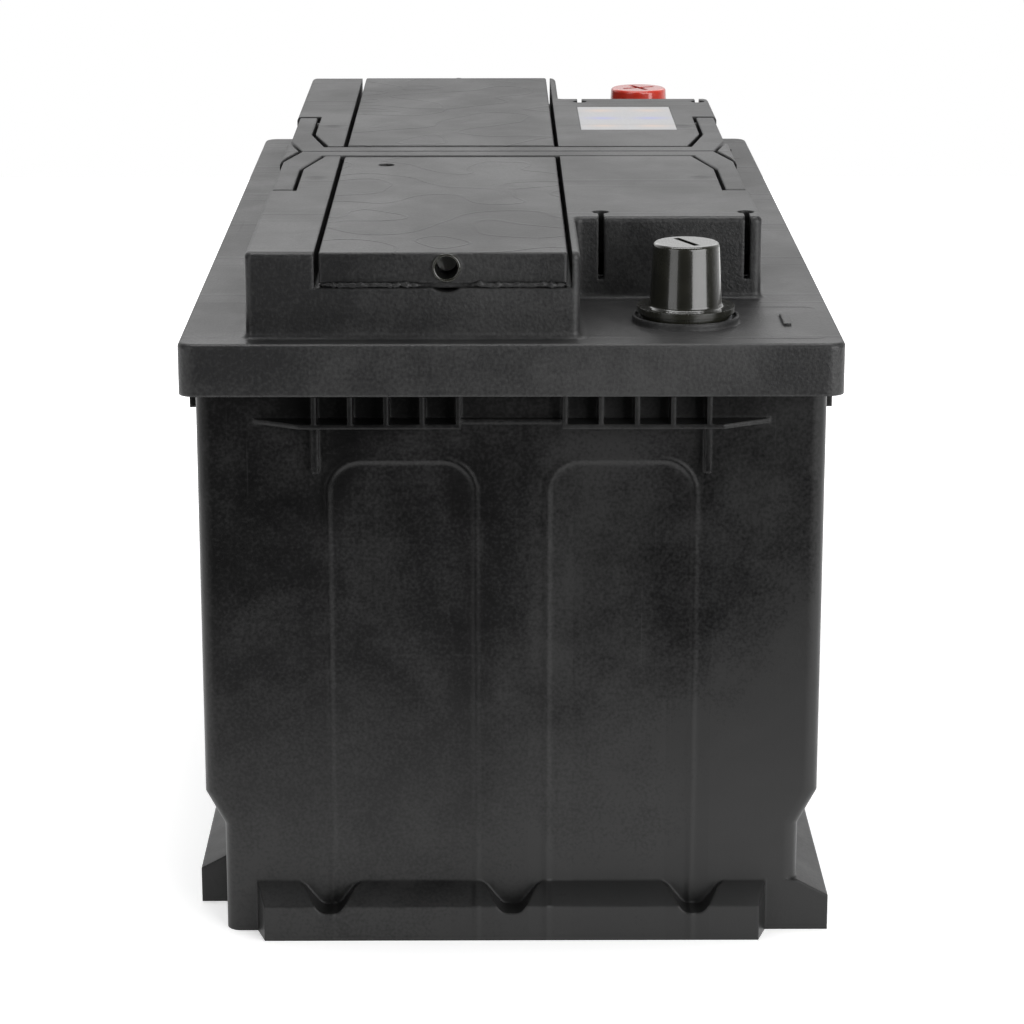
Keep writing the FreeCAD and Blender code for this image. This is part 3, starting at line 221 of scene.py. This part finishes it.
def black_plastic(name, dark, light, rough, relief, grain=0.11 * MM, specular=0.5, painted_light=None):
    """Moulded black polypropylene: fine grain, uneven gloss, rubbed streaks, the given relief and any
    painted light given.
    """
    material, tree, shader = new_material(name)
    blotches = cloud(tree, BLOTCH_SCALE, 5, stretch=(1, 0.5, 0.6), distortion=1.4)
    haze = cloud(tree, HAZE_SCALE, 4, shift=(1, 4, 2), distortion=0.5)
    streaks = scratches(tree)
    specks = minus(tree, cloud(tree, SPECK_SCALE, 2, shift=(6, 1, 3)), 0.5)
    tone = plus(tree, times(tree, blotches, BLOTCH_SHARE), times(tree, haze, 1 - BLOTCH_SHARE))
    tone = remap(tree, tone, 0.38, 0.62, 0.0, 1.0)
    shade = plus(tree, tone, times(tree, specks, SPECK_SHADE))
    # Painted light: a given lift of the colour where the surface is lit more.
    if painted_light is not None:
        shade = plus(tree, shade, painted_light(tree))
    colour = mix_colour(tree, shade, dark, light)
    colour = mix_colour(tree, times(tree, streaks, STREAK_SHADE), colour, (0.10, 0.10, 0.10))
    roughness = remap(tree, tone, 0.0, 1.0, rough - 0.05, rough + 0.09)
    roughness = plus(tree, roughness, times(tree, specks, SPECK_ROUGHNESS))
    roughness = plus(tree, roughness, times(tree, streaks, STREAK_ROUGHNESS))
    normal = soft_edges(tree, MOULDED_EDGE)
    normal = bump(tree, cloud(tree, GRAIN_SCALE, 3), grain, 1.0, normal)
    for height, distance in relief(tree):
        normal = bump(tree, height, distance, 1.0, normal)
    wire(tree, shader, colour=colour, roughness=roughness, normal=normal)
    shader.inputs["IOR"].default_value = PLASTIC_IOR
    shader.inputs["Specular IOR Level"].default_value = specular
    return material


def lid_relief(tree):
    """Partition lines and a gentle unevenness."""
    yield partition_lines(tree), 0.12 * MM
    yield cloud(tree, 16, 2, distortion=0.8), 0.30 * MM


def contour_relief(tree):
    """Thin closed lines on the top face, as flow marks leave on a large flat moulding."""
    field = cloud(tree, 32, 0.0, stretch=(1, 1.1, 1), shift=(2, 7, 0), distortion=0.4)
    rings = maths(tree, "PINGPONG", times(tree, field, 4.0), 0.5)
    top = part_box("vent_cover_front")[1].z
    on_top = remap(tree, axis_of(tree, 2), top - FLOW_FADE_END, top - FLOW_FADE_START, 0.0, 1.0)
    yield times(tree, remap(tree, rings, 0.0, FLOW_LINE_WIDTH, 1.0, 0.0), on_top), FLOW_LINE_HEIGHT
    yield cloud(tree, 24, 2, distortion=0.6), 0.5 * MM


def wall_relief(tree):
    """Two tall round-cornered arches on each end wall, raised a little, and a gentle unevenness."""
    across = maths(tree, "ABSOLUTE", axis_of(tree, 0))
    over = maths(tree, "ABSOLUTE", minus(tree, across, ARCH_MIDDLE))
    over = minus(tree, over, ARCH_HALF_WIDTH - ARCH_RADIUS)
    above = minus(tree, axis_of(tree, 2), ARCH_TOP - ARCH_RADIUS)
    over_out = maths(tree, "MAXIMUM", over, 0.0)
    above_out = maths(tree, "MAXIMUM", above, 0.0)
    squares = plus(tree, times(tree, over_out, over_out), times(tree, above_out, above_out))
    corner = maths(tree, "SQRT", squares)
    inside = maths(tree, "MINIMUM", maths(tree, "MAXIMUM", over, above), 0.0)
    outline = minus(tree, plus(tree, corner, inside), ARCH_RADIUS)
    yield hump(tree, outline, ARCH_LINE_WIDTH), ARCH_LINE_HEIGHT
    yield remap(tree, outline, -7 * MM, 5 * MM, 0.0, 1.0), ARCH_STEP_HEIGHT
    yield cloud(tree, 11, 3, distortion=1.0), 1.2 * MM


def wall_painted_light(tree):
    """Painted light: the wall's colour is darker towards its left, and paler towards its foot and its right
    side, where the lamps and the floor's glow light it more.
    """
    sideways = remap(tree, axis_of(tree, 0), -10 * MM, 75 * MM, -0.3, 0.5)
    low = remap(tree, axis_of(tree, 2), 80 * MM, 20 * MM, 0.0, 0.5)
    return plus(tree, sideways, low)


def handle_relief(tree):
    """A slight unevenness."""
    yield cloud(tree, 60, 2), 0.05 * MM


def gloss_plastic(name, dark, light, rough):
    """Glossy moulded plastic with slight waviness, specks and handling marks."""
    material, tree, shader = new_material(name)
    tone = cloud(tree, 120, 4)
    marks = remap(tree, cloud(tree, 1, 3, stretch=(700, 700, 90)), 0.62, 0.75, 0.0, 1.0)
    colour = mix_colour(tree, remap(tree, tone, 0.3, 0.7, 0.0, 1.0), dark, light)
    roughness = plus(tree, remap(tree, tone, 0.3, 0.7, rough - 0.03, rough + 0.05),
                      times(tree, marks, 0.12))
    normal = soft_edges(tree, FINE_EDGE)
    normal = bump(tree, cloud(tree, 300, 2, stretch=(1, 1, 0.35)), 0.03 * MM, 0.7, normal)
    normal = bump(tree, marks, 0.01 * MM, 0.5, normal)
    wire(tree, shader, colour=colour, roughness=roughness, normal=normal)
    shader.inputs["IOR"].default_value = 1.5
    shader.inputs["Coat Weight"].default_value = 0.9
    shader.inputs["Coat Roughness"].default_value = 0.08
    return material


def voronoi_cells(tree, scale):
    """Distance to the nearest of scattered points, at so many a metre."""
    return add(tree, "ShaderNodeTexVoronoi", {"Vector": place(tree), "Scale": scale}).outputs["Distance"]


def label_film():
    """Silvery film with nothing printed on it: soft coloured smears over a fine diffraction grain."""
    material, tree, shader = new_material("label_film")
    low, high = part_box("label_blank")
    column = maths(tree, "DIVIDE", minus(tree, axis_of(tree, 0), low.x), (high.x - low.x) / LABEL_COLUMNS)
    row = maths(tree, "DIVIDE", minus(tree, axis_of(tree, 1), low.y), (high.y - low.y) / LABEL_ROWS)
    squares = []
    for place_in_cell, squash in ((column, 0.55), (row, 1.0)):
        off_middle = minus(tree, maths(tree, "FRACT", place_in_cell), 0.5)
        off_middle = times(tree, off_middle, squash)
        squares.append(times(tree, off_middle, off_middle))
    distance = maths(tree, "SQRT", plus(tree, squares[0], squares[1]))
    distance = plus(tree, distance, times(tree, cloud(tree, 90, 3), 0.16))
    in_middle_row = hump(tree, minus(tree, row, LABEL_ROWS / 2), 0.5)
    tint = mix_colour(tree, in_middle_row, (0.68, 0.50, 0.38), (0.30, 0.33, 0.74))
    grain = voronoi_cells(tree, 2600.0)
    colour = mix_colour(tree, remap(tree, grain, 0.2, 0.7, 0.1, 0.6), (0.34, 0.34, 0.35), (0.60, 0.60, 0.61))
    colour = mix_colour(tree, times(tree, hump(tree, distance, 0.24), 0.75), colour, tint)
    colour = mix_colour(tree, times(tree, partition_lines(tree), 0.3), colour, (0.3, 0.3, 0.3))
    normal = bump(tree, grain, 0.01 * MM, 0.5)
    normal = bump(tree, cloud(tree, 90, 2), 0.12 * MM, 0.6, normal)
    roughness = remap(tree, grain, 0.0, 1.0, 0.28, 0.42)
    wire(tree, shader, colour=colour, roughness=roughness, normal=normal)
    shader.inputs["Metallic"].default_value = 0.2
    return material


def cast_lead():
    """Dull cast lead with paler spots."""
    material, tree, shader = new_material("cast_lead")
    tone = cloud(tree, 160, 5)
    spots = remap(tree, cloud(tree, 420, 3, shift=(4, 4, 4)), 0.55, 0.7, 0.0, 1.0)
    colour = mix_colour(tree, tone, (0.20, 0.205, 0.22), (0.42, 0.43, 0.45))
    colour = mix_colour(tree, times(tree, spots, 0.5), colour, (0.62, 0.62, 0.60))
    normal = bump(tree, cloud(tree, 500, 4), 0.08 * MM, 0.7, soft_edges(tree, FINE_EDGE))
    wire(tree, shader, colour=colour, roughness=remap(tree, tone, 0.2, 0.8, 0.35, 0.6), normal=normal)
    shader.inputs["Metallic"].default_value = 0.85
    return material


def pasted_plate(name, dark, light):
    """Active paste in a lead grid: rough and speckled, with the grid's bars showing faintly."""
    material, tree, shader = new_material(name)
    tone = cloud(tree, 700, 4)
    bars = maths(tree, "FRACT", times(tree, axis_of(tree, 2), 1 / LEAD_GRID_PITCH))
    bars = remap(tree, maths(tree, "ABSOLUTE", minus(tree, bars, 0.5)), 0.42, 0.48, 0.0, 1.0)
    colour = mix_colour(tree, tone, dark, light)
    colour = mix_colour(tree, times(tree, bars, 0.6), colour, (0.3, 0.31, 0.33))
    normal = bump(tree, tone, 0.12 * MM, 0.8)
    wire(tree, shader, colour=colour, roughness=remap(tree, tone, 0.2, 0.8, 0.7, 0.95), normal=normal)
    return material


def fibre_sheet(name, dark, light, scale):
    """Ribbed separator film, or the porous disc behind a vent port."""
    material, tree, shader = new_material(name)
    tone = cloud(tree, scale, 4)
    pores = voronoi_cells(tree, scale * 2.0)
    colour = mix_colour(tree, tone, dark, light)
    normal = bump(tree, pores, 0.06 * MM, 0.8)
    wire(tree, shader, colour=colour, roughness=remap(tree, pores, 0.0, 0.8, 0.95, 0.7), normal=normal)
    return material


MATERIALS = {
    # The case's black is set well darker than the lid's. Part of that darkness is painted shade on its end
    # walls.
    "case_plastic": black_plastic(
        "case_plastic", (0.0015, 0.0015, 0.0016), (0.015, 0.015, 0.015), 0.36,
        wall_relief, grain=0.03 * MM, specular=0.32, painted_light=wall_painted_light),
    "lid_plastic": black_plastic(
        "lid_plastic", (0.013, 0.013, 0.0135), (0.034, 0.034, 0.034), 0.43, lid_relief),
    "cover_plastic": black_plastic(
        "cover_plastic", (0.010, 0.010, 0.0105), (0.028, 0.028, 0.028), 0.42, contour_relief),
    "handle_plastic": black_plastic(
        "handle_plastic", (0.020, 0.020, 0.021), (0.030, 0.030, 0.030), 0.46, handle_relief),
    "cap_black": gloss_plastic("cap_black", (0.010, 0.010, 0.007), (0.018, 0.018, 0.012), 0.24),
    "cap_red": gloss_plastic("cap_red", (0.52, 0.028, 0.014), (0.62, 0.040, 0.020), 0.28),
    "label_film": label_film(),
    "porous_frit": fibre_sheet("porous_frit", (0.55, 0.55, 0.52), (0.78, 0.78, 0.75), 2500.0),
    "lead": cast_lead(),
    "positive_paste": pasted_plate("positive_paste", (0.055, 0.025, 0.016), (0.11, 0.05, 0.03)),
    "negative_paste": pasted_plate("negative_paste", (0.14, 0.145, 0.15), (0.25, 0.255, 0.26)),
    "separator_film": fibre_sheet("separator_film", (0.36, 0.36, 0.34), (0.5, 0.5, 0.48), 900.0),
}


def paint_nodes():
    """Every CAD node gets the material of its slot in the record."""
    for part in frame["record"]["subparts"]:
        node = frame["nodes"][part["node"]]
        node.data.materials.clear()
        node.data.materials.append(MATERIALS[part["material_slot"]])


# ---- Pieces ----

ENDS = (("front", -1), ("rear", 1))

PORT_RIM_RADIUS = 3.4 * MM
PORT_RIM_TUBE = 0.45 * MM
PORT_RIM_TURNS = 48
PORT_RIM_SIDES = 10

BEAD_RADIUS = 1.2 * MM
BEAD_FLATNESS = 0.8
BEAD_STEP = 0.35 * MM
BEAD_SIDES = 10
BEAD_DEPTH = 0.3 * MM  # of its middle, behind the cover's end face
BEAD_LIFT = 0.9 * MM  # of its middle, above the cover's underside
BEAD_CLEAR_OF_PORT = 6.0 * MM
BEAD_FIRST_SEED = 6

MOULD_LINE_WIDTH = 0.35 * MM
MOULD_LINE_HEIGHT = 0.09 * MM

# The outline of the terminal's mould insert, measured from the middle of the cap.
INSERT_START = 15 * MM
INSERT_END = -20 * MM
INSERT_RIGHT = 36.5 * MM
INSERT_INNER = 18.2 * MM
INSERT_OUTER = 22.6 * MM
INSERT_RADIUS = 3.5 * MM
INSERT_TURN_STEP = 15
SHELF_ABOVE_BUSHING = 9 * MM


def piece(name, mesh, material):
    """A smooth piece of the battery's own body, made from a bmesh."""
    data = bpy.data.meshes.new(name)
    bmesh.ops.recalc_face_normals(mesh, faces=mesh.faces)
    mesh.to_mesh(data)
    mesh.free()
    thing = bpy.data.objects.new(name, data)
    bpy.context.scene.collection.objects.link(thing)
    data.materials.append(MATERIALS[material])
    for face in data.polygons:
        face.use_smooth = True
    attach(thing, "battery")
    return thing


def join_loops(mesh, loops):
    """Faces between each loop of points and the next."""
    for first, second in zip(loops, loops[1:]):
        for side in range(len(first)):
            following = (side + 1) % len(first)
            mesh.faces.new((first[side], first[following], second[following], second[side]))


def uneven(x, per_metre, second, third):
    """Smooth noise between about -1 and 1 along X."""
    return noise.noise(Vector((x * per_metre, second, third)))


def weld_bead(name, start, end, seed):
    """An uneven bead of melted plastic between two points along X, thinner at both ends."""
    rings = int((end.x - start.x) / BEAD_STEP)
    mesh = bmesh.new()
    loops = []
    for n in range(rings + 1):
        middle = start.lerp(end, n / rings)
        swell = 0.62 + 0.75 * abs(uneven(middle.x, 420, seed, 0)) + 0.3 * uneven(middle.x, 1300, seed, 5)
        lift = 0.35 * uneven(middle.x, 300, seed, 9)
        taper = min(1.0, 6 * min(n, rings - n) / rings + 0.15)
        loop = []
        for side in range(BEAD_SIDES):
            turn = math.tau * side / BEAD_SIDES
            lump = 1 + 0.35 * uneven(middle.x, 900, turn, seed)
            reach = BEAD_RADIUS * swell * lump * taper
            up = math.sin(turn) * reach * BEAD_FLATNESS + lift * BEAD_RADIUS
            loop.append(mesh.verts.new(middle + Vector((0, math.cos(turn) * reach, up))))
        loops.append(loop)
    join_loops(mesh, loops)
    mesh.faces.new(loops[0][::-1])
    mesh.faces.new(loops[-1])
    piece(name, mesh, "cover_plastic")


def add_weld_beads():
    """A bead along the foot of each cover's end, on both sides of the vent port."""
    seed = BEAD_FIRST_SEED
    for name, end in ENDS:
        low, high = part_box(f"vent_cover_{name}")
        face = low.y + BEAD_DEPTH if end < 0 else high.y - BEAD_DEPTH
        height = low.z + BEAD_LIFT
        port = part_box(f"flame_arrestor_{name}")
        middle = (port[0].x + port[1].x) / 2
        left_stop, right_start = middle - BEAD_CLEAR_OF_PORT, middle + BEAD_CLEAR_OF_PORT
        for side, start, stop in (("left", low.x, left_stop), ("right", right_start, high.x)):
            ends = Vector((start, face, height)), Vector((stop, face, height))
            weld_bead(f"weld_bead_{name}_{side}", *ends, seed)
            seed += 1


def port_rim(name, centre):
    """A ring of round section about a line along Y."""
    mesh = bmesh.new()
    loops = []
    for turn in range(PORT_RIM_TURNS):
        angle = math.tau * turn / PORT_RIM_TURNS
        out = Vector((math.cos(angle), 0, math.sin(angle)))
        loop = []
        for side in range(PORT_RIM_SIDES):
            around = math.tau * side / PORT_RIM_SIDES
            offset = out * (PORT_RIM_RADIUS + PORT_RIM_TUBE * math.cos(around))
            offset.y = PORT_RIM_TUBE * math.sin(around)
            loop.append(mesh.verts.new(centre + offset))
        loops.append(loop)
    join_loops(mesh, loops + loops[:1])
    piece(name, mesh, "cap_black")


def add_port_rims():
    """The smooth raised rim round each vent port."""
    for name, end in ENDS:
        low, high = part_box(f"flame_arrestor_{name}")
        cover_low, cover_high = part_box(f"vent_cover_{name}")
        face = cover_low.y if end < 0 else cover_high.y
        port_rim(f"port_rim_{name}", Vector(((low.x + high.x) / 2, face, (low.z + high.z) / 2)))


def mould_line(name, points):
    """A thin raised line along a path that lies flat."""
    mesh = bmesh.new()
    rows = []
    for n, point in enumerate(points):
        before = points[max(n - 1, 0)]
        after = points[min(n + 1, len(points) - 1)]
        along = (after - before).normalized()
        across = Vector((-along.y, along.x, 0)) * MOULD_LINE_WIDTH / 2
        ridge = point + Vector((0, 0, MOULD_LINE_HEIGHT))
        rows.append([mesh.verts.new(corner) for corner in (point - across, ridge, point + across)])
    for first, second in zip(rows, rows[1:]):
        for side in range(2):
            mesh.faces.new((first[side], second[side], second[side + 1], first[side + 1]))
    piece(name, mesh, "lid_plastic")


def add_mould_lines():
    """The outline that the terminal's mould insert leaves on the shelf, at both ends."""
    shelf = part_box("terminal_bushing_negative")[0].z + SHELF_ABOVE_BUSHING
    for name, end in (("negative", -1), ("positive", 1)):
        low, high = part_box(f"terminal_cap_{name}")
        middle = (low + high) / 2
        right = middle.x + INSERT_RIGHT
        inner = middle.y - end * INSERT_INNER
        outer = middle.y + end * INSERT_OUTER
        points = [Vector((middle.x + INSERT_START, inner, shelf))]
        for centre_y, first_turn in ((inner + end * INSERT_RADIUS, 90), (outer - end * INSERT_RADIUS, 0)):
            for turn in range(first_turn, first_turn - 91, -INSERT_TURN_STEP):
                angle = math.radians(turn)
                x = right - INSERT_RADIUS + INSERT_RADIUS * math.cos(angle)
                points.append(Vector((x, centre_y - end * INSERT_RADIUS * math.sin(angle), shelf)))
        points.append(Vector((middle.x + INSERT_END, outer, shelf)))
        mould_line(f"mould_line_{name}", points)


# ---- Studio ----

CAMERA_PLACE = (-5.2 * MM, -1004.0 * MM, 347.5 * MM)
CAMERA_PITCH = 15.26
CAMERA_YAW = 0.366
CAMERA_LENS = 114.11
FLOOR_LOW = Vector((-0.75, -0.34, 0))
FLOOR_HIGH = Vector((0.75, 1.1, 0))
GLOW_CLEAR_X = 0.09  # the floor's glow grows from here outwards
GLOW_CLEAR_Y = 0.18
GLOW_REACH = 0.15
LIGHT_TARGET = (0, -0.1, 0.12)
LIGHTS = (  # name, place, width and height, radiance
    ("left_light", (-0.80, -0.92, 0.42), (0.70, 0.95), 1.5),
    ("right_light", (0.80, -0.98, 0.42), (1.10, 0.95), 4.2),
    ("top_light", (0, -0.05, 1.20), (1.1, 0.40), 6.0),
    ("back_light", (0, 1.3, 1.0), (1.8, 0.8), 1.0),
)


def add_camera():
    data = bpy.data.cameras.new("camera")
    data.lens = CAMERA_LENS
    data.clip_start = 0.01
    camera = bpy.data.objects.new("camera", data)
    camera.location = CAMERA_PLACE
    camera.rotation_euler = (math.radians(90 - CAMERA_PITCH), 0, -math.radians(CAMERA_YAW))
    bpy.context.scene.collection.objects.link(camera)
    bpy.context.scene.camera = camera


def softbox(name, place_at, size, radiance):
    """A rectangular lamp of the given brightness, facing the battery."""
    data = bpy.data.lights.new(name, "AREA")
    data.shape = "RECTANGLE"
    data.size, data.size_y = size
    data.energy = radiance * math.pi * size[0] * size[1]
    lamp = bpy.data.objects.new(name, data)
    lamp.location = place_at
    lamp.rotation_euler = (Vector(LIGHT_TARGET) - Vector(place_at)).to_track_quat("-Z", "Y").to_euler()
    bpy.context.scene.collection.objects.link(lamp)


def add_world():
    """A bright backdrop behind, dimmer overhead and dark in front. Seen directly, it is plain white."""
    world = bpy.data.worlds.new("studio")
    bpy.context.scene.world = world
    world.use_nodes = True
    tree = world.node_tree
    tree.nodes.clear()
    direction = add(tree, "ShaderNodeTexCoord").outputs["Generated"]
    split = add(tree, "ShaderNodeSeparateXYZ", {0: direction})
    behind = remap(tree, split.outputs[1], -0.05, 0.60, 0.05, 0.76)
    overhead = remap(tree, split.outputs[2], 0.40, 0.85, 1.0, 0.35)
    level = times(tree, behind, overhead)
    seen = add(tree, "ShaderNodeLightPath").outputs["Is Camera Ray"]
    level = maths(tree, "MAXIMUM", level, seen)
    background = add(tree, "ShaderNodeBackground", {"Color": (1, 1, 1, 1), "Strength": level})
    add(tree, "ShaderNodeOutputWorld", {"Surface": background.outputs[0]})


def pale_floor():
    """White paper that glows enough to stay white away from the object."""
    material, tree, shader = new_material("pale_floor")
    tone = cloud(tree, 3, 3)
    colour = mix_colour(tree, tone, (0.90, 0.90, 0.90), (0.94, 0.94, 0.94))
    away_x = minus(tree, maths(tree, "ABSOLUTE", axis_of(tree, 0)), GLOW_CLEAR_X)
    away_y = minus(tree, maths(tree, "ABSOLUTE", axis_of(tree, 1)), GLOW_CLEAR_Y)
    away = maths(tree, "MAXIMUM", away_x, away_y)
    glow = remap(tree, away, 0.0, GLOW_REACH, 0.50, 0.98)
    wire(tree, shader, colour=colour, roughness=remap(tree, tone, 0.0, 1.0, 0.75, 0.85))
    tree.links.new(glow, shader.inputs["Emission Strength"])
    shader.inputs["Emission Color"].default_value = (1, 1, 1, 1)
    return material


def add_floor():
    mesh = bmesh.new()
    corners = [(FLOOR_LOW.x, FLOOR_LOW.y), (FLOOR_HIGH.x, FLOOR_LOW.y),
               (FLOOR_HIGH.x, FLOOR_HIGH.y), (FLOOR_LOW.x, FLOOR_HIGH.y)]
    mesh.faces.new([mesh.verts.new((x, y, 0)) for x, y in corners])
    data = bpy.data.meshes.new("floor")
    mesh.to_mesh(data)
    mesh.free()
    floor = bpy.data.objects.new("floor", data)
    data.materials.append(pale_floor())
    bpy.context.scene.collection.objects.link(floor)


def add_studio():
    add_world()
    for light in LIGHTS:
        softbox(*light)
    add_floor()


paint_nodes()
add_weld_beads()
add_port_rims()
add_mould_lines()
add_camera()
add_studio()
bpy.context.scene.view_settings.view_transform = "Standard"
